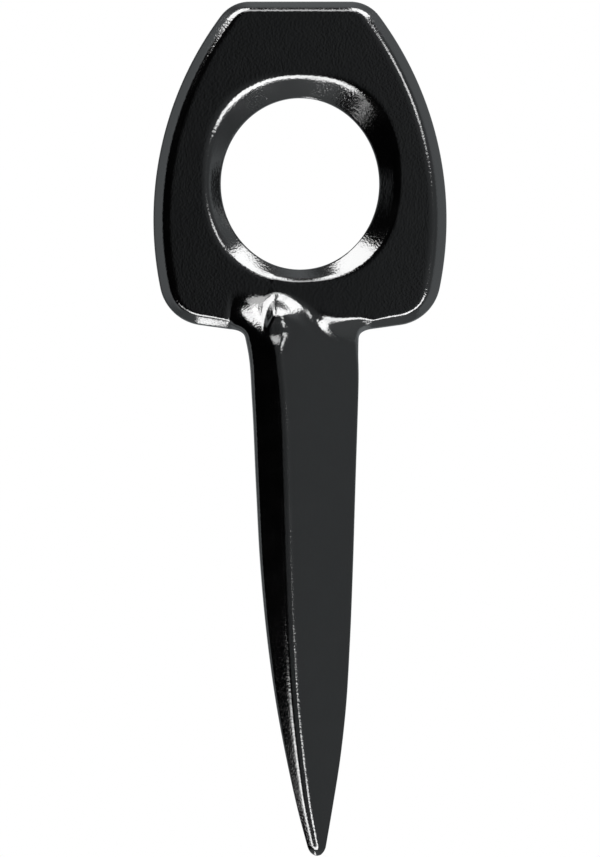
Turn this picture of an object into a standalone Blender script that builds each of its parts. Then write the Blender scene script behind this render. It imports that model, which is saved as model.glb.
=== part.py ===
"""A rock piton forged from one blank: an eyed head plate, folded below its eye into an angled blade."""

import math

import bmesh
import bpy
import numpy as np

# Sizes are in metres. The origin is where the blade leaves the underside of the head, in the middle of the
# plate's thickness. +Z runs up through the head, +X is to the right, and the front face points to -Y.

# Head plate, seen from the front.
HEAD_HEIGHT = 0.0375
HEAD_WIDTH = 0.0335
HEAD_THICKNESS = 0.0045
WIDEST_HEIGHT = 0.0126
SIDE_RADIUS = 0.0390
TOP_CORNER_RADIUS = 0.0041
LOWER_CORNER_RADIUS = 0.0053
UNDERSIDE_RISE = math.radians(8.0)
UNDERSIDE_START = 0.0074

# Forged edges of the head plate: how far each reaches over the face, how deep it goes, and the slope of its
# bevel with the shares of its run at which the bevel is reached and left.
SIDE_ROUNDING = 0.0021
END_ROUNDING = 0.00145
ROUNDING_DEPTH = 0.0019
EDGE_BEVEL = (math.radians(48.0), 0.50, 0.75)
PROFILE_STEPS = 400

# Eye for the carabiner.
EYE_WIDTH = 0.0181
EYE_HEIGHT = 0.0196
EYE_CENTRE_HEIGHT = 0.0167
# The flared rim runs out to a slightly squared oval, whose centre is given as (x, z).
FLARE_WIDTH = 0.0225
FLARE_HEIGHT = 0.0241
FLARE_CENTRE = (0.0003, 0.0174)
FLARE_SQUARENESS = 2.5
FLARE_DEPTH = 0.0018
FLARE_BEVEL = (math.radians(36.0), 0.28, 0.90)

# Blade: an angle section whose ridge stands in front of the head.
BLADE_LENGTH = 0.0600
BLADE_WIDTH = 0.0132
BLADE_WALL = 0.0030
RIDGE_PROUD = 0.0028
RIDGE_FALL_START = 0.13
NARROW_LEG_SLOPE = math.radians(28.0)
BROAD_LEG_SLOPE = math.radians(32.0)
RIDGE_ROUNDING = 0.00050
CHANNEL_ROUNDING = 0.00080
NARROW_LEG_ROUNDING = 0.00100
BROAD_LEG_ROUNDING = 0.00055
TIP_RADIUS = 0.0011

# Where the blade's left edge, ridge and right edge lie, as shares of its width, at shares of its length.
# The curve through them is the shape that the blade is ground to, nearly parallel first and then drawn in.
BLADE_STATIONS = (
    (0.00, -0.480, -0.212, 0.522),
    (0.05, -0.436, -0.189, 0.517),
    (0.13, -0.410, -0.153, 0.506),
    (0.30, -0.375, -0.123, 0.481),
    (0.45, -0.339, -0.102, 0.460),
    (0.60, -0.275, -0.074, 0.432),
    (0.72, -0.199, -0.038, 0.398),
    (0.82, -0.114, 0.011, 0.346),
    (0.91, -0.023, 0.068, 0.280),
    (1.00, 0.087, 0.150, 0.208),
)
# The wall and the ridge's rounding shrink towards the tip as these powers of the width that is left, and an
# edge's rounding takes at most this share of its leg.
WALL_TAPER = 0.45
RIDGE_ROUNDING_TAPER = 0.3
MOST_ROUNDING = 0.6

# Neck, where the flat head turns into the folded blade.
SHOULDER_DROP = 0.0009
SHOULDER_REACH = 0.00145
SHOULDER_ROUNDING = 0.0010
SHOULDER_EASING = 0.0030
# The ridge starts dull, in a shallow dent just under the head.
DENT_ROUNDING = 0.0008
DENT_DEPTH_BELOW = 0.0002
DENT_FALL = 0.0013
DENT_RISE = 0.0020
# How far down each side of the ridge the fold takes, and where the two sides meet.
NECK_TOP = 0.0044
NARROW_NECK_DEPTH = 0.0062
NARROW_EDGE_NECK_DEPTH = 0.0044
NARROW_NECK_RISE = 0.0002
BROAD_NECK_DEPTH = 0.0033
BROAD_NECK_DROP = 0.0029
BROAD_NECK_RUN = 0.0080
NECK_MEETING = 0.0014
NECK_MEETING_LEFT = 0.0014
NECK_LEFT_OUT = 0.0005
NECK_LEFT_SIDE = 0.0015
NECK_RIGHT_SIDE = 0.0016

# How finely the surface is divided, and how much closer the blade's columns stand at neck and tip.
HEAD_COLUMNS = 64
BLADE_COLUMNS = 52
NECK_CROWDING = 1.9
TIP_CROWDING = 1.35
NECK_COLUMN_SHARE = 0.22
FLARE_SPACE = 0.0034
LEAST_FLARE_SHARE = 0.1
MOST_FLARE_SHARE = 0.7
FLARE_STEPS = 6
FACE_STEPS = 5
ROUNDING_STEPS = 6
OUTLINE_STEPS = 60
BLADE_OUTLINE_STEPS = 240
WELD_DISTANCE = 0.000002
SHARP_ANGLE = math.radians(40.0)

COAT_COLOUR = (0.0008, 0.0008, 0.0009, 1.0)
COAT_ROUGHNESS = 0.18


def smooth_step(share):
    """0 below 0 and 1 above 1, with a gentle start and end between them."""
    share = np.clip(share, 0.0, 1.0)
    return share * share * (3.0 - 2.0 * share)


def curve_through(at, knots, values):
    """A smooth curve through the values at the knots: on each span, the cubic whose slope at a knot is that
    of the chord between the knot's neighbours."""
    knots = np.asarray(knots)
    values = np.asarray(values)
    slopes = np.gradient(values, knots)
    span = np.clip(np.searchsorted(knots, at) - 1, 0, len(knots) - 2)
    width = knots[span + 1] - knots[span]
    t = (at - knots[span]) / width
    return (
        (2 * t**3 - 3 * t**2 + 1) * values[span]
        + (t**3 - 2 * t**2 + t) * width * slopes[span]
        + (3 * t**2 - 2 * t**3) * values[span + 1]
        + (t**3 - t**2) * width * slopes[span + 1]
    )


def blade_line(z, which):
    """Where the blade's left edge (1), ridge (2) or right edge (3) lies across the blade at height z. Above
    the underside, the line goes on straight up."""
    shares, *lines = zip(*BLADE_STATIONS)
    return BLADE_WIDTH * curve_through(np.clip(-z / BLADE_LENGTH, 0.0, 1.0), shares, lines[which - 1])


def nose(z):
    """How much of the blade's section is left at height z: all of it, until the round tip begins."""
    above_tip = np.clip((z + BLADE_LENGTH) / TIP_RADIUS, 0.0, 1.0)
    return np.sqrt(above_tip * (2.0 - above_tip))


def arc(centre, radius, start, end):
    """Points on a circle's arc, from one angle to another."""
    angle = np.linspace(start, end, OUTLINE_STEPS)
    return np.stack([centre[0] + radius * np.cos(angle), centre[1] + radius * np.sin(angle)], axis=1)


def half_outline(side):
    """Half of the outline, as (x, z) from the tip up to the middle of the top edge: blade edge, shoulder,
    sloping underside, lower corner, bowed side, top corner and top edge. side is -1 on the left and 1 on the
    right."""
    tip_x = float(blade_line(np.array(-BLADE_LENGTH), 2))
    turn = np.linspace(0, math.pi / 2, BLADE_OUTLINE_STEPS)
    z = -BLADE_LENGTH + (BLADE_LENGTH - SHOULDER_DROP) * (1 - np.cos(turn))
    edge = blade_line(z, 1 if side < 0 else 3)
    blade = np.stack([side * (tip_x + (edge - tip_x) * nose(z)), z], axis=1)

    side_centre = np.array([HEAD_WIDTH / 2 - SIDE_RADIUS, WIDEST_HEIGHT])
    top_centre_z = HEAD_HEIGHT - TOP_CORNER_RADIUS
    reach = SIDE_RADIUS - TOP_CORNER_RADIUS
    top_angle = math.asin((top_centre_z - side_centre[1]) / reach)
    top_centre = np.array([side_centre[0] + reach * math.cos(top_angle), top_centre_z])

    # The lower corner's centre lies one radius above the sloping underside and one inside the side's arc.
    along = np.array([math.cos(UNDERSIDE_RISE), math.sin(UNDERSIDE_RISE)])
    up = np.array([-along[1], along[0]])
    start = np.array([UNDERSIDE_START, 0.0]) + LOWER_CORNER_RADIUS * up - side_centre
    reach = SIDE_RADIUS - LOWER_CORNER_RADIUS
    middle = start @ along
    run = -middle + math.sqrt(middle**2 - start @ start + reach**2)
    lower_centre = side_centre + start + run * along
    lower_angle = math.atan2(start[1] + run * along[1], start[0] + run * along[0])

    lower = arc(lower_centre, LOWER_CORNER_RADIUS, UNDERSIDE_RISE - math.pi / 2, lower_angle)
    bowed = arc(side_centre, SIDE_RADIUS, lower_angle, top_angle)
    top = arc(top_centre, TOP_CORNER_RADIUS, top_angle, math.pi / 2)

    # The shoulder is a curve that leaves the blade's edge along its slope and meets the underside's.
    foot = blade[-1]
    leaving = foot - blade[-2]
    slope = math.tan(UNDERSIDE_RISE)
    run = (slope * (foot[0] - UNDERSIDE_START) - foot[1]) / (leaving[1] - slope * leaving[0])
    corner = foot + run * leaving
    joined = corner + SHOULDER_REACH * along
    t = np.linspace(0, 1, OUTLINE_STEPS)[1:, None]
    fillet = (1 - t) ** 2 * foot + 2 * t * (1 - t) * corner + t**2 * joined
    points = np.concatenate([blade, fillet, lower, bowed[1:], top[1:], [[0.0, HEAD_HEIGHT]]])
    return points * (side, 1), len(blade) - 1


def along_line(points, distance):
    """The points at the given distances along a line, and the direction of the line there."""
    steps = np.linalg.norm(np.diff(points, axis=0), axis=1)
    run = np.concatenate([[0.0], np.cumsum(steps)])
    slope = np.gradient(points, run, axis=0)
    found = np.stack([np.interp(distance, run, points[:, k]) for k in (0, 1)], axis=1)
    heading = np.stack([np.interp(distance, run, slope[:, k]) for k in (0, 1)], axis=1)
    return found, heading / np.linalg.norm(heading, axis=1, keepdims=True)


def inward(heading, side):
    """The direction into the plate, square to an outline that runs from the tip to the top on that side."""
    return np.stack([heading[:, 1], -heading[:, 0]], axis=1) * -side


def edge_profile(bevel):
    """The section of a forged edge, as shares of its width and depth from the face to the outline: it curves
    away from the face, runs on as a straight bevel, and turns square at the end."""
    slope, start, end = bevel
    run = np.linspace(0, 1, PROFILE_STEPS)
    heading = slope * smooth_step(run / start)
    heading += (math.pi / 2 - slope) * smooth_step((run - end) / (1 - end))
    width = np.cumsum(np.cos(heading))
    depth = np.cumsum(np.sin(heading))
    return (width - width[0]) / (width[-1] - width[0]), (depth - depth[0]) / (depth[-1] - depth[0])


def edge_corner(slope):
    """The shares of width and depth at which a leg's edge stands out farthest once the leg is turned by the
    slope: there the section heads straight back."""
    width_share, depth_share = edge_profile(EDGE_BEVEL)
    across = np.gradient(width_share) * NARROW_LEG_ROUNDING
    heading = np.arctan2(np.gradient(depth_share) * ROUNDING_DEPTH, across)
    steps = np.arange(PROFILE_STEPS)
    at = np.interp(math.pi / 2 - slope, heading, steps)
    return np.interp(at, steps, width_share), np.interp(at, steps, depth_share)


def flare_depth(x, z):
    """How far the eye's flared rim lies behind the face at (x, z): a bevel from the eye's wall out to the
    flare's oval, which sits a little higher than the eye."""
    rim = np.hypot(x / (EYE_WIDTH / 2), (z - EYE_CENTRE_HEIGHT) / (EYE_HEIGHT / 2))
    wide = np.abs(x - FLARE_CENTRE[0]) / (FLARE_WIDTH / 2)
    high = np.abs(z - FLARE_CENTRE[1]) / (FLARE_HEIGHT / 2)
    border = (wide**FLARE_SQUARENESS + high**FLARE_SQUARENESS) ** (1 / FLARE_SQUARENESS)
    inside = np.maximum(1 - border, 0.0) * FLARE_WIDTH
    beyond = np.maximum(rim - 1, 0.0) * EYE_WIDTH
    share = inside / np.maximum(inside + beyond, WELD_DISTANCE)
    return FLARE_DEPTH * np.interp(share, *edge_profile(FLARE_BEVEL))


def fold_share(x, z):
    """How much of the fold there is at (x, z): none in the head, all of it in the blade. The fold starts
    under the eye, lower towards the broad leg's edge, and takes a longer run on the narrow leg."""
    ridge = blade_line(z, 2)
    left_edge = blade_line(z, 1)
    right_edge = blade_line(z, 3)
    across = x - ridge
    towards_left = smooth_step(-across / (ridge - left_edge))
    narrow = NARROW_NECK_DEPTH - (NARROW_NECK_DEPTH - NARROW_EDGE_NECK_DEPTH) * towards_left
    depth = narrow + (BROAD_NECK_DEPTH - narrow) * smooth_step((across + NECK_MEETING_LEFT) / NECK_MEETING)
    top = NECK_TOP - BROAD_NECK_DROP * smooth_step(across / BROAD_NECK_RUN)
    top = top + NARROW_NECK_RISE * towards_left
    inside_left = smooth_step((x - left_edge + NECK_LEFT_OUT) / NECK_LEFT_SIDE + 1)
    inside_right = smooth_step((right_edge - x) / NECK_RIGHT_SIDE + 1)
    return smooth_step((top - z) / depth) * inside_left * inside_right


def ridge_depth(z):
    """How far the ridge stands in front of the head's middle plane at height z: as the ridge runs across to
    the right towards the tip, it stays on the broad leg's flat face, and so falls back along its slope."""
    start = blade_line(np.array(-RIDGE_FALL_START * BLADE_LENGTH), 2)
    along_face = np.maximum(blade_line(z, 2) - start, 0.0)
    return HEAD_THICKNESS / 2 + RIDGE_PROUD - math.tan(BROAD_LEG_SLOPE) * along_face


def folded(x, z, depth):
    """Where a point of the flat plate goes when the fold is complete. depth runs from 0 at the front face to
    the plate's thickness at the back. Each side of the ridge becomes a leg that slopes back from it."""
    ridge = blade_line(z, 2)
    side = np.where(x < ridge, -1.0, 1.0)
    slope = np.where(side < 0, NARROW_LEG_SLOPE, BROAD_LEG_SLOPE)
    edge = np.where(side < 0, blade_line(z, 1), blade_line(z, 3))
    rounding = np.where(side < 0, NARROW_LEG_ROUNDING, BROAD_LEG_ROUNDING)
    width = np.abs(edge - ridge)
    left = (blade_line(z, 3) - blade_line(z, 1)) / BLADE_WIDTH
    wall = BLADE_WALL * left**WALL_TAPER
    cos, sin = np.cos(slope), np.sin(slope)
    width_share, depth_share = edge_corner(slope)
    corner = wall * ROUNDING_DEPTH / HEAD_THICKNESS * depth_share
    leg = (width + sin * corner + rounding * left * (1 - width_share)) / cos
    into = wall * depth / HEAD_THICKNESS
    mitre = into * math.tan((NARROW_LEG_SLOPE + BROAD_LEG_SLOPE) / 2)
    reach = mitre + (leg - mitre) * np.abs(x - ridge) / width
    new_x = ridge + side * (cos * reach - sin * into)
    new_y = -ridge_depth(z) + sin * reach + cos * into
    above_dent = z + DENT_DEPTH_BELOW
    fade = np.where(above_dent > 0, DENT_RISE, DENT_FALL)
    dent = DENT_ROUNDING * np.exp(-((above_dent / fade) ** 2))
    blunt_ridge = (RIDGE_ROUNDING + dent) * left**RIDGE_ROUNDING_TAPER
    blunt = blunt_ridge + (CHANNEL_ROUNDING * left - blunt_ridge) * depth / HEAD_THICKNESS
    beside = cos * (reach - mitre)
    bend = (math.tan(NARROW_LEG_SLOPE) + math.tan(BROAD_LEG_SLOPE)) / 2
    new_y = new_y + bend * ((np.abs(beside) ** 4 + blunt**4) ** 0.25 - beside)
    return new_x, new_y


def placed(x, z, depth):
    """The finished place of a point of the flat plate, between its flat place and its folded one. The tip's
    section shrinks towards one point."""
    share = fold_share(x, z)
    new_x, new_y = folded(x, z, depth)
    flat_y = depth - HEAD_THICKNESS / 2
    x = x + (new_x - x) * share
    y = flat_y + (new_y - flat_y) * share
    tip_x = blade_line(z, 2)
    left = (blade_line(z, 3) - blade_line(z, 1)) / BLADE_WIDTH
    tip_y = BLADE_WALL * left**WALL_TAPER - ridge_depth(z)
    return np.stack([tip_x + (x - tip_x) * nose(z), tip_y + (y - tip_y) * nose(z), z], axis=-1)


def piton_columns(side):
    """Inner points, outline points, inward directions and rounding widths of one side's columns. The first
    ones run from the eye's rim to the head's outline, top to bottom, and the others from the ridge to the
    blade's edge."""
    outline, foot = half_outline(side)
    lengths = np.concatenate([[0.0], np.cumsum(np.linalg.norm(np.diff(outline, axis=0), axis=1))])
    count = HEAD_COLUMNS // 2
    even = np.linspace(0, 1, count + 1)
    spread = (even + np.sin(even * math.pi / 2)) / 2
    from_tip = lengths[-1] + (lengths[foot] - lengths[-1]) * spread
    head, heading = along_line(outline, from_tip)
    polar = np.arctan2(side * head[:, 0], head[:, 1] - EYE_CENTRE_HEIGHT)
    ridge_x = float(blade_line(np.array(0.0), 2))
    last = math.pi - side * math.asin(ridge_x / (EYE_WIDTH / 2))
    turn = last * polar / polar[-1]
    rim_z = EYE_CENTRE_HEIGHT + EYE_HEIGHT / 2 * np.cos(turn)
    rim = np.stack([side * EYE_WIDTH / 2 * np.sin(turn), rim_z], axis=1)
    sideways = smooth_step(np.abs(heading[:, 1])) * smooth_step(head[:, 1] / LOWER_CORNER_RADIUS)
    head_rounding = END_ROUNDING + (SIDE_ROUNDING - END_ROUNDING) * sideways

    share = np.linspace(0, 1, BLADE_COLUMNS + 1)[1:]
    share = 1 - (1 - share**NECK_CROWDING) ** TIP_CROWDING
    bottom = rim[-1, 1]
    z = outline[foot, 1] - (BLADE_LENGTH + outline[foot, 1]) * share
    inner_z = z + (bottom - outline[foot, 1]) * np.clip(1 - share / NECK_COLUMN_SHARE, 0, 1) ** 2
    ridge = np.stack([blade_line(inner_z, 2), inner_z], axis=1)
    distance = np.interp(z, outline[: foot + 1, 1], lengths[: foot + 1])
    edge, edge_heading = along_line(outline, distance)
    ridge_line = blade_line(z, 2)
    edge[:, 0] = blade_line(z, 1 if side < 0 else 3)
    level = np.tile([0.0, 1.0], (len(z), 1))
    level[:, 0] = edge_heading[:, 0] * nose(z)
    level /= np.linalg.norm(level, axis=1, keepdims=True)
    left = (blade_line(z, 3) - blade_line(z, 1)) / BLADE_WIDTH
    leg_rounding = (NARROW_LEG_ROUNDING if side < 0 else BROAD_LEG_ROUNDING) * left
    leg_rounding = np.minimum(leg_rounding, MOST_ROUNDING * np.abs(edge[:, 0] - ridge_line))
    easing = np.exp(-(((from_tip - lengths[foot]) / SHOULDER_EASING) ** 2))
    head_rounding = head_rounding + (SHOULDER_ROUNDING - head_rounding) * easing
    easing = np.exp(-(((z - outline[foot, 1]) / SHOULDER_EASING) ** 2))
    leg_rounding = leg_rounding + (SHOULDER_ROUNDING - leg_rounding) * easing

    inner = np.concatenate([rim, ridge])
    outer = np.concatenate([head, edge])
    into = inward(np.concatenate([heading, level]), side)
    return inner, outer, into, np.concatenate([head_rounding, leg_rounding])


def column_points(side):
    """The points of one side, as rows of columns: along the front from the inner line to the edge, round the
    edge, and back along the rear face."""
    inner, outer, into, rounding = piton_columns(side)
    face_end = outer + into * rounding[:, None]
    reach = np.linalg.norm(face_end - inner, axis=1)
    flare_share = FLARE_SPACE / np.maximum(reach, FLARE_SPACE)
    flare_share = np.clip(flare_share, LEAST_FLARE_SHARE, MOST_FLARE_SHARE)[:, None]
    turn = np.linspace(0, math.pi / 2, FLARE_STEPS + 1)
    first = flare_share * (1 - np.cos(turn))
    rest = flare_share + (1 - flare_share) * np.linspace(0, 1, FACE_STEPS + 1)[1:-1]
    share = np.concatenate([first, rest], axis=1)[:, :, None]
    face = inner[:, None] + (face_end - inner)[:, None] * share
    front = flare_depth(face[..., 0], face[..., 1])
    rear = HEAD_THICKNESS - front

    width_share, depth_share = edge_profile(EDGE_BEVEL)
    stops = np.linspace(0, PROFILE_STEPS - 1, ROUNDING_STEPS + 1).round().astype(int)
    across = (1 - width_share[stops]) * rounding[:, None]
    edge = outer[:, None] + into[:, None] * across[..., None]
    edge_front = np.broadcast_to(ROUNDING_DEPTH * depth_share[stops], across.shape)
    edge_rear = HEAD_THICKNESS - edge_front
    flat = np.concatenate([face, edge, edge[:, ::-1], face[:, ::-1]], axis=1)
    depth = np.concatenate([front, edge_front, edge_rear[:, ::-1], rear[:, ::-1]], axis=1)
    return placed(flat[..., 0], flat[..., 1], depth)


def piton_mesh():
    """The whole skin: two sides, joined along the middle of the top, along the ridge and at the tip, and
    closed through the eye's wall."""
    left = column_points(-1)
    right = column_points(1)
    columns, around = left.shape[:2]
    points = np.concatenate([left.reshape(-1, 3), right.reshape(-1, 3)])
    index = np.arange(columns * around).reshape(columns, around)
    faces = []
    for start, grid in ((0, index), (columns * around, index)):
        grid = grid + start
        quads = np.stack([grid[:-1, :-1], grid[:-1, 1:], grid[1:, 1:], grid[1:, :-1]], axis=-1)
        faces.append(quads.reshape(-1, 4))
        rim = grid[: HEAD_COLUMNS // 2 + 1]
        wall = np.stack([rim[:-1, -1], rim[:-1, 0], rim[1:, 0], rim[1:, -1]], axis=-1)
        faces.append(wall)
    faces = np.concatenate(faces)
    mesh = bpy.data.meshes.new("piton")
    mesh.from_pydata(points.tolist(), [], faces.tolist())
    return mesh


def coat():
    """Glossy black coat on steel."""
    material = bpy.data.materials.new("black_coat")
    material.use_nodes = True
    shader = material.node_tree.nodes["Principled BSDF"]
    shader.inputs["Base Color"].default_value = COAT_COLOUR
    shader.inputs["Metallic"].default_value = 0.0
    shader.inputs["Roughness"].default_value = COAT_ROUGHNESS
    return material


def piton():
    """The piton's object, welded along the lines where the two sides meet."""
    mesh = piton_mesh()
    skin = bmesh.new()
    skin.from_mesh(mesh)
    bmesh.ops.remove_doubles(skin, verts=skin.verts, dist=WELD_DISTANCE)
    bmesh.ops.recalc_face_normals(skin, faces=skin.faces)
    skin.to_mesh(mesh)
    skin.free()
    mesh.shade_smooth()
    mesh.set_sharp_from_angle(angle=SHARP_ANGLE)
    mesh.materials.append(coat())
    made = bpy.data.objects.new("forged_body", mesh)
    bpy.context.collection.objects.link(made)
    return made


for old in list(bpy.data.objects):
    bpy.data.objects.remove(old)
piton()
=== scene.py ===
"""A black forged rock piton, hanging in front of a white backdrop under soft studio light.

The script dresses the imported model: it loads the frame, replaces the plain solid by a finer skin of the
same shape with its coat, and adds the floor, the light and the camera. Sizes are in metres, +Z runs up
through the head, the front faces -Y, and the origin is where the blade leaves the underside of the head.
"""

import math

import bmesh
import bpy
import numpy as np
from mathutils import Matrix, Vector


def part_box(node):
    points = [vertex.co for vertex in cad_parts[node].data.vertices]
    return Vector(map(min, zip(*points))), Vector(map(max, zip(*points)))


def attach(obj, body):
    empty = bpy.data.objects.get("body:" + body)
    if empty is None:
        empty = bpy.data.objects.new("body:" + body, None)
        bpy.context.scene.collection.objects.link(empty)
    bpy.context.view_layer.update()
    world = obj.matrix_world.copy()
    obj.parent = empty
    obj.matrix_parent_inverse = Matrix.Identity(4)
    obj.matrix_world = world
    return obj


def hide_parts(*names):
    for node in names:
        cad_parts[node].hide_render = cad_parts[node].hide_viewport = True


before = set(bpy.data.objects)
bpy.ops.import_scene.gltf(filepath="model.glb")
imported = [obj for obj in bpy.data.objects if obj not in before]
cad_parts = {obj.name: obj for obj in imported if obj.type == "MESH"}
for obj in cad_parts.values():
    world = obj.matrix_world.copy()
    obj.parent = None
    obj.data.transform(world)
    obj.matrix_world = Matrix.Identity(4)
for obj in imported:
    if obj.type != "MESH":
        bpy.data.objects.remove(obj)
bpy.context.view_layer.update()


# The forged body is the whole piton: one blank of tempered steel, cut to an eyed head that is widest below
# its middle and a blade that runs down to a blunt point, then forged, folded and coated. Nothing is fixed
# to it. Its outline comes first, as the blank is cut.

body_low, body_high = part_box("forged_body")
HEAD_HEIGHT = body_high.z
HEAD_WIDTH = 2 * body_high.x
BLADE_LENGTH = -body_low.z
HEAD_THICKNESS = 0.0045
WIDEST_HEIGHT = 0.0126
SIDE_RADIUS = 0.0390
TOP_CORNER_RADIUS = 0.0041
LOWER_CORNER_RADIUS = 0.0053
UNDERSIDE_RISE = math.radians(8.0)
UNDERSIDE_START = 0.0074
SHOULDER_DROP = 0.0009
SHOULDER_REACH = 0.00145
TIP_RADIUS = 0.0011

# Where the blade's left edge, ridge and right edge lie, as shares of its width, at shares of its length.
BLADE_WIDTH = 0.0132
BLADE_STATIONS = (
    (0.00, -0.480, -0.212, 0.522),
    (0.05, -0.436, -0.189, 0.517),
    (0.13, -0.410, -0.153, 0.506),
    (0.30, -0.375, -0.123, 0.481),
    (0.45, -0.339, -0.102, 0.460),
    (0.60, -0.275, -0.074, 0.432),
    (0.72, -0.199, -0.038, 0.398),
    (0.82, -0.114, 0.011, 0.346),
    (0.91, -0.023, 0.068, 0.280),
    (1.00, 0.087, 0.150, 0.208),
)
LEFT_EDGE, RIDGE, RIGHT_EDGE = 1, 2, 3
OUTLINE_STEPS = 200


def blade_line(z, which):
    """Where one of the blade's lines lies across it at height z: on each span of the stations, the cubic
    whose slope at a station is that of the chord between its neighbours. Above the underside it goes
    straight up."""
    knots = np.array([row[0] for row in BLADE_STATIONS])
    values = np.array([row[which] for row in BLADE_STATIONS])
    slopes = np.gradient(values, knots)
    at = np.clip(-np.asarray(z) / BLADE_LENGTH, 0.0, 1.0)
    span = np.clip(np.searchsorted(knots, at) - 1, 0, len(knots) - 2)
    width = knots[span + 1] - knots[span]
    t = (at - knots[span]) / width
    return BLADE_WIDTH * (
        (2 * t**3 - 3 * t**2 + 1) * values[span]
        + (t**3 - 2 * t**2 + t) * width * slopes[span]
        + (3 * t**2 - 2 * t**3) * values[span + 1]
        + (t**3 - t**2) * width * slopes[span + 1]
    )


def nose(z):
    """How much of the blade's section is left at height z: all of it, until the round tip begins as a
    quarter circle of the tip's radius."""
    above_tip = np.clip((z + BLADE_LENGTH) / TIP_RADIUS, 0.0, 1.0)
    return np.sqrt(above_tip * (2.0 - above_tip))


def arc(centre, radius, start, end):
    """Points on a circle's arc, from one angle to another."""
    angle = np.linspace(start, end, OUTLINE_STEPS)
    return np.stack([centre[0] + radius * np.cos(angle), centre[1] + radius * np.sin(angle)], axis=1)


def half_outline(side):
    """Half of the outline, as (x, z) from the tip up to the middle of the top edge: blade edge, shoulder
    curve, sloping underside, lower corner, bowed side, top corner and top edge. side is -1 on the left and
    1 on the right."""
    tip_x = float(blade_line(-BLADE_LENGTH, RIDGE))
    turn = np.linspace(0, math.pi / 2, 4 * OUTLINE_STEPS)
    z = -BLADE_LENGTH + (BLADE_LENGTH - SHOULDER_DROP) * (1 - np.cos(turn))
    edge = blade_line(z, LEFT_EDGE if side < 0 else RIGHT_EDGE)
    blade = np.stack([side * (tip_x + (edge - tip_x) * nose(z)), z], axis=1)

    side_centre = np.array([HEAD_WIDTH / 2 - SIDE_RADIUS, WIDEST_HEIGHT])
    top_centre_z = HEAD_HEIGHT - TOP_CORNER_RADIUS
    reach = SIDE_RADIUS - TOP_CORNER_RADIUS
    top_angle = math.asin((top_centre_z - side_centre[1]) / reach)
    top_centre = np.array([side_centre[0] + reach * math.cos(top_angle), top_centre_z])

    # The lower corner's centre lies one radius above the sloping underside and one inside the side's arc.
    along = np.array([math.cos(UNDERSIDE_RISE), math.sin(UNDERSIDE_RISE)])
    up = np.array([-along[1], along[0]])
    start = np.array([UNDERSIDE_START, 0.0]) + LOWER_CORNER_RADIUS * up - side_centre
    reach = SIDE_RADIUS - LOWER_CORNER_RADIUS
    middle = start @ along
    run = -middle + math.sqrt(middle**2 - start @ start + reach**2)
    lower_centre = side_centre + start + run * along
    lower_angle = math.atan2(start[1] + run * along[1], start[0] + run * along[0])

    lower = arc(lower_centre, LOWER_CORNER_RADIUS, UNDERSIDE_RISE - math.pi / 2, lower_angle)
    bowed = arc(side_centre, SIDE_RADIUS, lower_angle, top_angle)
    top = arc(top_centre, TOP_CORNER_RADIUS, top_angle, math.pi / 2)

    # The shoulder leaves the blade's edge along the edge's slope and meets the underside along its own.
    foot = blade[-1]
    leaving = foot - blade[-2]
    slope = math.tan(UNDERSIDE_RISE)
    run = (slope * (foot[0] - UNDERSIDE_START) - foot[1]) / (leaving[1] - slope * leaving[0])
    corner = foot + run * leaving
    joined = corner + SHOULDER_REACH * along
    t = np.linspace(0, 1, OUTLINE_STEPS)[1:, None]
    fillet = (1 - t) ** 2 * foot + 2 * t * (1 - t) * corner + t**2 * joined
    points = np.concatenate([blade, fillet, lower, bowed[1:], top[1:], [[0.0, HEAD_HEIGHT]]])
    return points * (side, 1), len(blade) - 1


def along_line(points, distance):
    """The points at the given distances along a line, and the direction of the line there."""
    steps = np.linalg.norm(np.diff(points, axis=0), axis=1)
    run = np.concatenate([[0.0], np.cumsum(steps)])
    slope = np.gradient(points, run, axis=0)
    found = np.stack([np.interp(distance, run, points[:, k]) for k in (0, 1)], axis=1)
    heading = np.stack([np.interp(distance, run, slope[:, k]) for k in (0, 1)], axis=1)
    return found, heading / np.linalg.norm(heading, axis=1, keepdims=True)


# The forging: the eye is punched and its rim flared on both faces, the edges are bevelled, and the blade is
# folded along a ridge into an angle section with a narrow left leg and a broad right one. Between the head
# and the blade the fold takes hold over a short neck, and the ridge starts dull there, in a shallow dent.

EYE_WIDTH = 0.0181
EYE_HEIGHT = 0.0196
EYE_CENTRE_HEIGHT = 0.0167
FLARE_WIDTH = 0.0225
FLARE_HEIGHT = 0.0241
FLARE_CENTRE = (0.0003, 0.0174)
FLARE_SQUARENESS = 2.5
FLARE_DEPTH = 0.0018
FLARE_BEVEL = (math.radians(36.0), 0.28, 0.90)
SIDE_ROUNDING = 0.0021
END_ROUNDING = 0.00145
ROUNDING_DEPTH = 0.0019
EDGE_BEVEL = (math.radians(48.0), 0.50, 0.75)
PROFILE_STEPS = 400
BLADE_WALL = 0.0030
WALL_TAPER = 0.45
RIDGE_PROUD = 0.0028
NARROW_LEG_SLOPE = math.radians(28.0)
BROAD_LEG_SLOPE = math.radians(32.0)
RIDGE_ROUNDING = 0.00050
RIDGE_ROUNDING_TAPER = 0.3
CHANNEL_ROUNDING = 0.00080
NARROW_LEG_ROUNDING = 0.00100
BROAD_LEG_ROUNDING = 0.00055
MOST_ROUNDING = 0.6
RIDGE_FALL_START = 0.13
LEAST_SPAN = 1e-9

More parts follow.
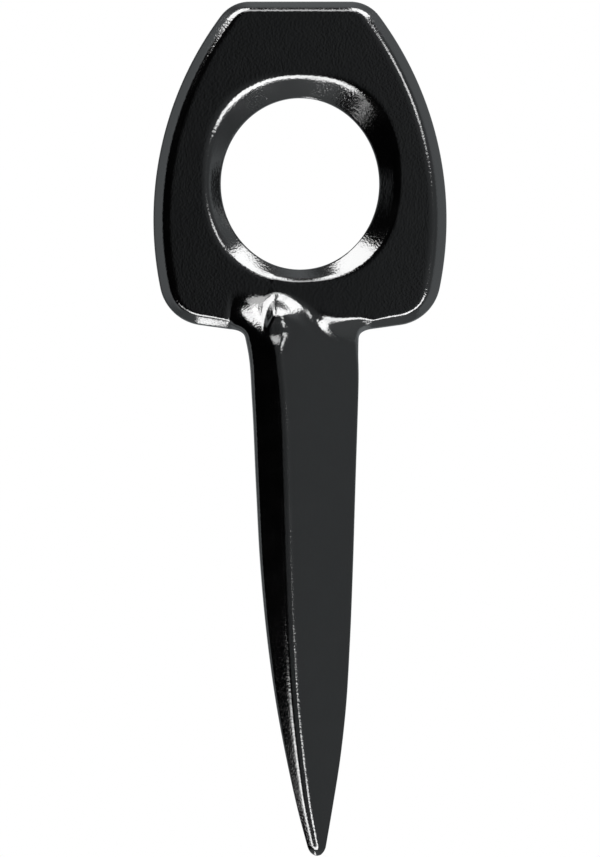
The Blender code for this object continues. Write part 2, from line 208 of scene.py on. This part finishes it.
# Where the edges are eased at the shoulder, how the ridge's dent lies, and where the fold takes hold.
SHOULDER_ROUNDING = 0.0010
SHOULDER_EASING = 0.0030
DENT_ROUNDING = 0.0008
DENT_DEPTH_BELOW = 0.0002
DENT_FALL = 0.0013
DENT_RISE = 0.0020
NECK_TOP = 0.0044
NARROW_NECK_DEPTH = 0.0062
NARROW_EDGE_NECK_DEPTH = 0.0044
BROAD_NECK_DEPTH = 0.0033
BROAD_NECK_DROP = 0.0029
BROAD_NECK_RUN = 0.0080
NARROW_NECK_RISE = 0.0002
NECK_MEETING = 0.0014
NECK_MEETING_LEFT = 0.0014
NECK_LEFT_OUT = 0.0005
NECK_LEFT_SIDE = 0.0015
NECK_RIGHT_SIDE = 0.0016


def smooth_step(share):
    """0 below 0 and 1 above 1, with a gentle start and end between them."""
    share = np.clip(share, 0.0, 1.0)
    return share * share * (3.0 - 2.0 * share)


def edge_profile(bevel):
    """The section of a forged edge, as shares of its width and depth from the face to the outline: it
    curves away from the face, runs on as a straight bevel, and turns square at the end. The heading at each
    share of the length is eased from 0 to the bevel's slope and from there to a right angle, and then
    summed up."""
    slope, start, end = bevel
    run = np.linspace(0, 1, PROFILE_STEPS)
    heading = slope * smooth_step(run / start)
    heading += (math.pi / 2 - slope) * smooth_step((run - end) / (1 - end))
    width, depth = np.cumsum(np.cos(heading)), np.cumsum(np.sin(heading))
    return (width - width[0]) / (width[-1] - width[0]), (depth - depth[0]) / (depth[-1] - depth[0])


def edge_corner(slope):
    """The shares of width and depth at which an edge stands out farthest once its leg is turned by the
    slope: there the section heads straight back."""
    width_share, depth_share = edge_profile(EDGE_BEVEL)
    back = np.gradient(depth_share) * ROUNDING_DEPTH
    out = np.gradient(width_share) * NARROW_LEG_ROUNDING
    heading = np.arctan2(back, out)
    at = np.interp(math.pi / 2 - slope, heading, np.arange(PROFILE_STEPS))
    steps = np.arange(PROFILE_STEPS)
    return np.interp(at, steps, width_share), np.interp(at, steps, depth_share)


def flare_depth(x, z):
    """How far the eye's flared rim lies behind the face at (x, z): a bevel from the eye's wall out to a
    larger, slightly squared oval, which sits a little higher than the eye."""
    rim = np.hypot(x / (EYE_WIDTH / 2), (z - EYE_CENTRE_HEIGHT) / (EYE_HEIGHT / 2))
    wide = np.abs(x - FLARE_CENTRE[0]) / (FLARE_WIDTH / 2)
    high = np.abs(z - FLARE_CENTRE[1]) / (FLARE_HEIGHT / 2)
    border = (wide**FLARE_SQUARENESS + high**FLARE_SQUARENESS) ** (1 / FLARE_SQUARENESS)
    inside = np.maximum(1 - border, 0.0) * FLARE_WIDTH
    beyond = np.maximum(rim - 1, 0.0) * EYE_WIDTH
    share = inside / np.maximum(inside + beyond, LEAST_SPAN)
    return FLARE_DEPTH * np.interp(share, *edge_profile(FLARE_BEVEL))


def fold_share(x, z):
    """How much of the fold there is at (x, z): none in the head, all of it in the blade. The fold starts
    under the eye, lower towards the broad leg's edge, and takes a longer run on the narrow leg."""
    across = x - blade_line(z, RIDGE)
    narrow_width = blade_line(z, RIDGE) - blade_line(z, LEFT_EDGE)
    towards_left = smooth_step(-across / narrow_width)
    narrow = NARROW_NECK_DEPTH + (NARROW_EDGE_NECK_DEPTH - NARROW_NECK_DEPTH) * towards_left
    depth = narrow + (BROAD_NECK_DEPTH - narrow) * smooth_step((across + NECK_MEETING_LEFT) / NECK_MEETING)
    top = NECK_TOP - BROAD_NECK_DROP * smooth_step(across / BROAD_NECK_RUN)
    top = top + NARROW_NECK_RISE * towards_left
    inside_left = smooth_step((x - blade_line(z, LEFT_EDGE) + NECK_LEFT_OUT) / NECK_LEFT_SIDE + 1)
    inside_right = smooth_step((blade_line(z, RIGHT_EDGE) - x) / NECK_RIGHT_SIDE + 1)
    return smooth_step((top - z) / depth) * inside_left * inside_right


def ridge_depth(z):
    """How far the ridge stands in front of the head's middle plane at height z: as the ridge runs across to
    the right towards the tip, it stays on the broad leg's flat face, and so falls back along that face's
    slope."""
    start = blade_line(-RIDGE_FALL_START * BLADE_LENGTH, RIDGE)
    along_face = np.maximum(blade_line(z, RIDGE) - start, 0.0)
    return HEAD_THICKNESS / 2 + RIDGE_PROUD - math.tan(BROAD_LEG_SLOPE) * along_face


def folded(x, z, depth):
    """Where a point of the flat plate goes when the fold is complete: a share of the leg's length along its
    slope, and a share of the wall square to it, mitred at the ridge. The fourth root of two summed fourth
    powers blunts the ridge and the channel behind it, and the ridge more in the dent, which is a bell curve
    down it."""
    ridge = blade_line(z, RIDGE)
    narrow = x < ridge
    side = np.where(narrow, -1.0, 1.0)
    slope = np.where(narrow, NARROW_LEG_SLOPE, BROAD_LEG_SLOPE)
    edge = np.where(narrow, blade_line(z, LEFT_EDGE), blade_line(z, RIGHT_EDGE))
    rounding = np.where(narrow, NARROW_LEG_ROUNDING, BROAD_LEG_ROUNDING)
    width = np.abs(edge - ridge)
    left = (blade_line(z, RIGHT_EDGE) - blade_line(z, LEFT_EDGE)) / BLADE_WIDTH
    wall = BLADE_WALL * left**WALL_TAPER
    width_share, depth_share = edge_corner(slope)
    corner = wall * ROUNDING_DEPTH / HEAD_THICKNESS * depth_share
    leg = (width + np.sin(slope) * corner + rounding * left * (1 - width_share)) / np.cos(slope)
    into = wall * depth / HEAD_THICKNESS
    mitre = into * math.tan((NARROW_LEG_SLOPE + BROAD_LEG_SLOPE) / 2)
    reach = mitre + (leg - mitre) * np.abs(x - ridge) / width
    cos, sin = np.cos(slope), np.sin(slope)
    new_x = ridge + side * (cos * reach - sin * into)
    new_y = -ridge_depth(z) + sin * reach + cos * into
    above_dent = z + DENT_DEPTH_BELOW
    fade = np.where(above_dent > 0, DENT_RISE, DENT_FALL)
    dent = DENT_ROUNDING * np.exp(-((above_dent / fade) ** 2))
    blunt_ridge = (RIDGE_ROUNDING + dent) * left**RIDGE_ROUNDING_TAPER
    blunt = blunt_ridge + (CHANNEL_ROUNDING * left - blunt_ridge) * depth / HEAD_THICKNESS
    beside = cos * (reach - mitre)
    bend = (math.tan(NARROW_LEG_SLOPE) + math.tan(BROAD_LEG_SLOPE)) / 2
    return new_x, new_y + bend * ((np.abs(beside) ** 4 + blunt**4) ** 0.25 - beside)


def placed(x, z, depth):
    """The finished place of a point of the flat plate, between its flat place and its folded one. The tip's
    section shrinks towards one point."""
    share = fold_share(x, z)
    new_x, new_y = folded(x, z, depth)
    flat_y = depth - HEAD_THICKNESS / 2
    x = x + (new_x - x) * share
    y = flat_y + (new_y - flat_y) * share
    tip_x = blade_line(z, RIDGE)
    left = (blade_line(z, RIGHT_EDGE) - blade_line(z, LEFT_EDGE)) / BLADE_WIDTH
    tip_y = BLADE_WALL * left**WALL_TAPER - ridge_depth(z)
    return np.stack([tip_x + (x - tip_x) * nose(z), tip_y + (y - tip_y) * nose(z), z], axis=-1)


# The skin: one closed surface in two halves that meet at the ridge. Each half is a grid of columns that run
# from the inner line over the front, round the edge and back along the rear.

HEAD_COLUMNS = 150
BLADE_COLUMNS = 230
NECK_CROWDING = 1.9
TIP_CROWDING = 1.35
NECK_COLUMN_SHARE = 0.22
FLARE_SPACE = 0.0034
LEAST_FLARE_SHARE = 0.1
MOST_FLARE_SHARE = 0.7
FACE_STEPS = 18
ROUNDING_STEPS = 14
WELD_DISTANCE = 0.000001


def skin_columns(side):
    """Inner points, outline points, inward directions and rounding widths of one half's columns. The first
    ones run from the eye's rim to the head's outline, and the others from the ridge to the blade's edge.
    The head's are spaced by the mean of an even share and its sine, and the blade's by two powers of one,
    so that they crowd at the neck and at the tip."""
    outline, foot = half_outline(side)
    lengths = np.concatenate([[0.0], np.cumsum(np.linalg.norm(np.diff(outline, axis=0), axis=1))])
    even = np.linspace(0, 1, HEAD_COLUMNS + 1)
    spread = (even + np.sin(even * math.pi / 2)) / 2
    from_tip = lengths[-1] + (lengths[foot] - lengths[-1]) * spread
    head, heading = along_line(outline, from_tip)
    polar = np.arctan2(side * head[:, 0], head[:, 1] - EYE_CENTRE_HEIGHT)
    ridge_x = float(blade_line(0.0, RIDGE))
    last = math.pi - side * math.asin(ridge_x / (EYE_WIDTH / 2))
    turn = last * polar / polar[-1]
    rim_z = EYE_CENTRE_HEIGHT + EYE_HEIGHT / 2 * np.cos(turn)
    rim = np.stack([side * EYE_WIDTH / 2 * np.sin(turn), rim_z], axis=1)
    sideways = smooth_step(np.abs(heading[:, 1])) * smooth_step(head[:, 1] / LOWER_CORNER_RADIUS)
    head_rounding = END_ROUNDING + (SIDE_ROUNDING - END_ROUNDING) * sideways

    share = np.linspace(0, 1, BLADE_COLUMNS + 1)[1:]
    share = 1 - (1 - share**NECK_CROWDING) ** TIP_CROWDING
    foot_z = outline[foot, 1]
    z = foot_z - (BLADE_LENGTH + foot_z) * share
    inner_z = z + (rim[-1, 1] - foot_z) * np.clip(1 - share / NECK_COLUMN_SHARE, 0, 1) ** 2
    ridge = np.stack([blade_line(inner_z, RIDGE), inner_z], axis=1)
    edge, edge_heading = along_line(outline, np.interp(z, outline[: foot + 1, 1], lengths[: foot + 1]))
    edge[:, 0] = blade_line(z, LEFT_EDGE if side < 0 else RIGHT_EDGE)
    level = np.stack([edge_heading[:, 0] * nose(z), np.ones_like(z)], axis=1)
    level /= np.linalg.norm(level, axis=1, keepdims=True)
    left = (blade_line(z, RIGHT_EDGE) - blade_line(z, LEFT_EDGE)) / BLADE_WIDTH
    leg_rounding = (NARROW_LEG_ROUNDING if side < 0 else BROAD_LEG_ROUNDING) * left
    leg_rounding = np.minimum(leg_rounding, MOST_ROUNDING * np.abs(edge[:, 0] - blade_line(z, RIDGE)))
    easing = np.exp(-(((from_tip - lengths[foot]) / SHOULDER_EASING) ** 2))
    head_rounding = head_rounding + (SHOULDER_ROUNDING - head_rounding) * easing
    easing = np.exp(-(((z - outline[foot, 1]) / SHOULDER_EASING) ** 2))
    leg_rounding = leg_rounding + (SHOULDER_ROUNDING - leg_rounding) * easing

    along = np.concatenate([heading, level])
    into = np.stack([along[:, 1], -along[:, 0]], axis=1) * -side
    inner, outer = np.concatenate([rim, ridge]), np.concatenate([head, edge])
    return inner, outer, into, np.concatenate([head_rounding, leg_rounding])


def half_skin(side):
    """The points of one half, as rows of columns. A column runs down the flared rim, across the face, over
    the front edge's section, back over the rear edge's and across the rear to the rim. On the flare its
    steps grow as one minus a cosine, so that they are shortest at the rim."""
    inner, outer, into, rounding = skin_columns(side)
    face_end = outer + into * rounding[:, None]
    reach = np.linalg.norm(face_end - inner, axis=1)
    flare_share = FLARE_SPACE / np.maximum(reach, FLARE_SPACE)
    flare_share = np.clip(flare_share, LEAST_FLARE_SHARE, MOST_FLARE_SHARE)[:, None]
    turn = np.linspace(0, math.pi / 2, ROUNDING_STEPS + 1)
    first = flare_share * (1 - np.cos(turn))
    width_share, depth_share = edge_profile(EDGE_BEVEL)
    stops = np.linspace(0, PROFILE_STEPS - 1, ROUNDING_STEPS + 1).round().astype(int)
    rest = flare_share + (1 - flare_share) * np.linspace(0, 1, FACE_STEPS + 1)[1:-1]
    share = np.concatenate([first, rest], axis=1)[:, :, None]
    face = inner[:, None] + (face_end - inner)[:, None] * share
    front = flare_depth(face[..., 0], face[..., 1])
    rear = HEAD_THICKNESS - front

    across = (1 - width_share[stops]) * rounding[:, None]
    edge = outer[:, None] + into[:, None] * across[..., None]
    edge_front = np.broadcast_to(ROUNDING_DEPTH * depth_share[stops], across.shape)
    edge_rear = HEAD_THICKNESS - edge_front
    flat = np.concatenate([face, edge, edge[:, ::-1], face[:, ::-1]], axis=1)
    depth = np.concatenate([front, edge_front, edge_rear[:, ::-1], rear[:, ::-1]], axis=1)
    return placed(flat[..., 0], flat[..., 1], depth)


def skin_mesh():
    """The two halves side by side, with a strip of faces along the eye's wall on each. They are welded along
    the top, the ridge and the tip, and their faces are then turned outwards."""
    halves = [half_skin(-1), half_skin(1)]
    columns, around = halves[0].shape[:2]
    grid = np.arange(columns * around).reshape(columns, around)
    quads = np.stack([grid[:-1, :-1], grid[:-1, 1:], grid[1:, 1:], grid[1:, :-1]], axis=-1).reshape(-1, 4)
    rim = grid[: HEAD_COLUMNS + 1]
    wall = np.stack([rim[:-1, -1], rim[:-1, 0], rim[1:, 0], rim[1:, -1]], axis=-1)
    faces = np.concatenate([quads, wall, quads + columns * around, wall + columns * around])
    points = np.concatenate([half.reshape(-1, 3) for half in halves])
    mesh = bpy.data.meshes.new("skin")
    mesh.from_pydata(points.tolist(), [], faces.tolist())
    return mesh


skin = bpy.data.objects.new("skin", skin_mesh())
bpy.context.scene.collection.objects.link(skin)
welding = bmesh.new()
welding.from_mesh(skin.data)
bmesh.ops.remove_doubles(welding, verts=welding.verts, dist=WELD_DISTANCE)
bmesh.ops.recalc_face_normals(welding, faces=welding.faces)
welding.to_mesh(skin.data)
welding.free()
skin.data.shade_smooth()


# The coat: a glossy black lacquer over the whole forging. It lies in a fine grain, as it does on blasted
# steel, and its gloss varies slightly from place to place.

COAT_COLOUR = (0.0008, 0.0008, 0.0009, 1.0)
COAT_IOR = 2.8
UNDERCOAT_IOR = 1.7
GRAIN_SCALE = 4300.0
GRAIN_DETAIL = 2.0
GRAIN_HEIGHT = 0.000017
CLOUD_SCALE = 420.0
CLOUD_DETAIL = 3.0
CLOUD_RANGE = (0.3, 0.7)
COAT_ROUGHNESS = (0.030, 0.055)
UNDERCOAT_ROUGHNESS = (0.13, 0.20)

coat = bpy.data.materials.new("black_coat")
coat.use_nodes = True
nodes = coat.node_tree.nodes
links = coat.node_tree.links
shader = nodes["Principled BSDF"]
shader.inputs["Base Color"].default_value = COAT_COLOUR
shader.inputs["IOR"].default_value = UNDERCOAT_IOR
shader.inputs["Coat Weight"].default_value = 1.0
shader.inputs["Coat IOR"].default_value = COAT_IOR
place = nodes.new("ShaderNodeTexCoord")
grain = nodes.new("ShaderNodeTexNoise")
grain.inputs["Scale"].default_value = GRAIN_SCALE
grain.inputs["Detail"].default_value = GRAIN_DETAIL
links.new(place.outputs["Object"], grain.inputs["Vector"])
bump = nodes.new("ShaderNodeBump")
bump.inputs["Strength"].default_value = 1.0
bump.inputs["Distance"].default_value = GRAIN_HEIGHT
links.new(grain.outputs["Fac"], bump.inputs["Height"])
links.new(bump.outputs["Normal"], shader.inputs["Normal"])
links.new(bump.outputs["Normal"], shader.inputs["Coat Normal"])
cloud = nodes.new("ShaderNodeTexNoise")
cloud.inputs["Scale"].default_value = CLOUD_SCALE
cloud.inputs["Detail"].default_value = CLOUD_DETAIL
links.new(place.outputs["Object"], cloud.inputs["Vector"])
for socket, (least, most) in (("Coat Roughness", COAT_ROUGHNESS), ("Roughness", UNDERCOAT_ROUGHNESS)):
    gloss = nodes.new("ShaderNodeMapRange")
    gloss.inputs["From Min"].default_value = CLOUD_RANGE[0]
    gloss.inputs["From Max"].default_value = CLOUD_RANGE[1]
    gloss.inputs["To Min"].default_value = least
    gloss.inputs["To Max"].default_value = most
    links.new(cloud.outputs["Fac"], gloss.inputs["Value"])
    links.new(gloss.outputs["Result"], shader.inputs[socket])
skin.data.materials.append(coat)
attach(skin, "root")
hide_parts("forged_body")


# The floor: a round of pale paper, far below the piton, which hangs free. It is a part of the studio, and
# from the camera's place it is seen only in the coat.

FLOOR_DROP = 2.0
FLOOR_RADIUS = 2.0
FLOOR_CORNERS = 128
FLOOR_COLOUR = (0.70, 0.71, 0.71, 1.0)
FLOOR_ROUGHNESS = 0.8

bpy.ops.mesh.primitive_circle_add(
    vertices=FLOOR_CORNERS,
    radius=FLOOR_RADIUS,
    fill_type="NGON",
    location=(0, 0, -BLADE_LENGTH - FLOOR_DROP),
)
floor = bpy.context.object
floor.name = "floor"
paper = bpy.data.materials.new("paper")
paper.use_nodes = True
paper_shader = paper.node_tree.nodes["Principled BSDF"]
paper_shader.inputs["Base Color"].default_value = FLOOR_COLOUR
paper_shader.inputs["Roughness"].default_value = FLOOR_ROUGHNESS
floor.data.materials.append(paper)


# The room: what the coat reflects beyond the lamps. Its grey changes with the angle round the piton, from
# black curtains in front on the left to pale walls at the sides and behind. The camera sees plain white.

ROOM_TINT = (0.94, 1.00, 1.03)

# Degrees round the piton from the camera, to the right where positive, and the grey there.
ROOM_STOPS = (
    (-180, 0.250),
    (-150, 0.160),
    (-125, 0.090),
    (-108, 0.190),
    (-90, 0.240),
    (-84, 0.220),
    (-76, 0.000),
    (-8, 0.000),
    (-2.5, 0.021),
    (0, 0.036),
    (2.5, 0.054),
    (8, 0.068),
    (45, 0.102),
    (64, 0.096),
    (76, 0.130),
    (84, 0.210),
    (108, 0.220),
    (125, 0.180),
    (180, 0.250),
)

world = bpy.data.worlds.new("room")
bpy.context.scene.world = world
world.use_nodes = True
nodes = world.node_tree.nodes
links = world.node_tree.links
nodes.clear()
direction = nodes.new("ShaderNodeTexCoord")
split = nodes.new("ShaderNodeSeparateXYZ")
links.new(direction.outputs["Generated"], split.inputs[0])
towards_camera = nodes.new("ShaderNodeMath")
towards_camera.operation = "MULTIPLY"
towards_camera.inputs[1].default_value = -1.0
links.new(split.outputs["Y"], towards_camera.inputs[0])
around = nodes.new("ShaderNodeMath")
around.operation = "ARCTAN2"
links.new(split.outputs["X"], around.inputs[0])
links.new(towards_camera.outputs[0], around.inputs[1])
share_round = nodes.new("ShaderNodeMapRange")
share_round.inputs["From Min"].default_value = -math.pi
share_round.inputs["From Max"].default_value = math.pi
links.new(around.outputs[0], share_round.inputs["Value"])
walls = nodes.new("ShaderNodeValToRGB")
walls.color_ramp.elements.remove(walls.color_ramp.elements[1])
for number, (degrees, grey) in enumerate(ROOM_STOPS):
    share = (degrees + 180) / 360
    stop = walls.color_ramp.elements.new(share) if number else walls.color_ramp.elements[0]
    stop.position = share
    stop.color = [grey * part for part in ROOM_TINT] + [1.0]
links.new(share_round.outputs["Result"], walls.inputs["Fac"])
room = nodes.new("ShaderNodeBackground")
links.new(walls.outputs["Color"], room.inputs["Color"])
white = nodes.new("ShaderNodeBackground")
white.inputs["Color"].default_value = (1, 1, 1, 1)
ray = nodes.new("ShaderNodeLightPath")
either = nodes.new("ShaderNodeMath")
either.operation = "MAXIMUM"
links.new(ray.outputs["Is Camera Ray"], either.inputs[0])
links.new(ray.outputs["Is Transmission Ray"], either.inputs[1])
choice = nodes.new("ShaderNodeMixShader")
links.new(either.outputs[0], choice.inputs["Fac"])
links.new(room.outputs[0], choice.inputs[1])
links.new(white.outputs[0], choice.inputs[2])
surroundings = nodes.new("ShaderNodeOutputWorld")
links.new(choice.outputs[0], surroundings.inputs["Surface"])


# The softboxes: long lamps parallel to the camera's axis, each at its own angle round it. They draw the
# white lines and patches along the bevels, the flare of the eye and the neck. A lamp's power is its
# radiance times pi and its area.

BOX_DISTANCE = 0.5
BOX_RADIANCE = 3.4

# Name, degrees round the camera's axis from the right, near and far end along it, width, share of radiance.
SOFTBOXES = (
    ("top_left", 123, -0.50, 0.05, 0.280, 1.00),
    ("top_left_front", 101, -0.50, -0.05, 0.100, 1.00),
    ("top", 90, -1.00, -0.43, 0.350, 0.44),
    ("top_right_front", 78, -0.50, 0.00, 0.120, 1.00),
    ("top_right", 58, -0.50, 0.05, 0.220, 1.00),
    ("right_front", 30, -0.87, -0.45, 0.170, 0.65),
    ("below_left", 247, -0.94, -0.46, 0.200, 1.00),
    ("below_left_middle", 262, -0.94, -0.36, 0.060, 1.00),
    ("below_behind", 261, -0.12, 0.32, 0.080, 0.88),
    ("below_middle", 281, -0.94, -0.44, 0.260, 1.00),
    ("below_right_middle", 307, -0.94, -0.44, 0.240, 1.00),
    ("below_right", 331, -0.94, -0.44, 0.220, 1.00),
)

for name, degrees, near, far, width, share in SOFTBOXES:
    turn = math.radians(degrees)
    box = bpy.data.lights.new(name, "AREA")
    box.shape = "RECTANGLE"
    box.size = width
    box.size_y = far - near
    box.energy = share * BOX_RADIANCE * math.pi * width * (far - near)
    lamp = bpy.data.objects.new(name, box)
    lamp.matrix_world = Matrix((
        (math.sin(turn), 0, math.cos(turn), BOX_DISTANCE * math.cos(turn)),
        (0, 1, 0, (near + far) / 2),
        (-math.cos(turn), 0, math.sin(turn), BOX_DISTANCE * math.sin(turn)),
        (0, 0, 0, 1),
    ))
    lamp.visible_camera = False
    bpy.context.scene.collection.objects.link(lamp)


# The point's lamps: two small softboxes near the tip on its left, with honeycombs that keep their light to
# the end of the blade. The first draws the two bright streaks beside the ridge there. The second is dimmer
# and is aimed below the tip, and the end of the narrow leg shows it as a soft grey.

POINT_BOX_DISTANCE = 0.15
POINT_BOX_SPREAD = math.radians(32.0)

# Name, point aimed at, degrees round the camera's axis from the right, degrees out from it, size, power.
POINT_BOXES = (
    ("point_box", (0.001, -0.002, -0.050), 212, 42, 0.075, 0.0023),
    ("glow_box", (0.001, 0.000, -0.107), 186, 56, 0.045, 0.0003),
)

for name, aim, degrees, degrees_out, size, power in POINT_BOXES:
    turn = math.radians(degrees)
    out = math.radians(degrees_out)
    towards_box = Vector((math.cos(turn) * math.sin(out), -math.cos(out), math.sin(turn) * math.sin(out)))
    box = bpy.data.lights.new(name, "AREA")
    box.shape = "SQUARE"
    box.size = size
    box.spread = POINT_BOX_SPREAD
    box.energy = power
    lamp = bpy.data.objects.new(name, box)
    lamp.location = Vector(aim) + POINT_BOX_DISTANCE * towards_box
    lamp.rotation_euler = towards_box.to_track_quat("Z", "Y").to_euler()
    lamp.visible_camera = False
    bpy.context.scene.collection.objects.link(lamp)


# The camera: straight in front of the piton, with a lens that gives the photo's scale, and at the height
# that puts the origin on the photo's row for it.

CAMERA_DISTANCE = 0.640
SENSOR_WIDTH = 36.0
PIXELS_PER_METRE = 8750.0
PHOTO_HEIGHT = 857
ORIGIN_ROW = 330.0

camera = bpy.data.objects.new("camera", bpy.data.cameras.new("camera"))
bpy.context.scene.collection.objects.link(camera)
camera.data.sensor_width = SENSOR_WIDTH
camera.data.lens = SENSOR_WIDTH * CAMERA_DISTANCE / (PHOTO_HEIGHT / PIXELS_PER_METRE)
camera.location = (0.0, -CAMERA_DISTANCE, (ORIGIN_ROW - PHOTO_HEIGHT / 2) / PIXELS_PER_METRE)
camera.rotation_euler = (math.pi / 2, 0, 0)
bpy.context.scene.camera = camera
bpy.context.scene.view_settings.view_transform = "Standard"
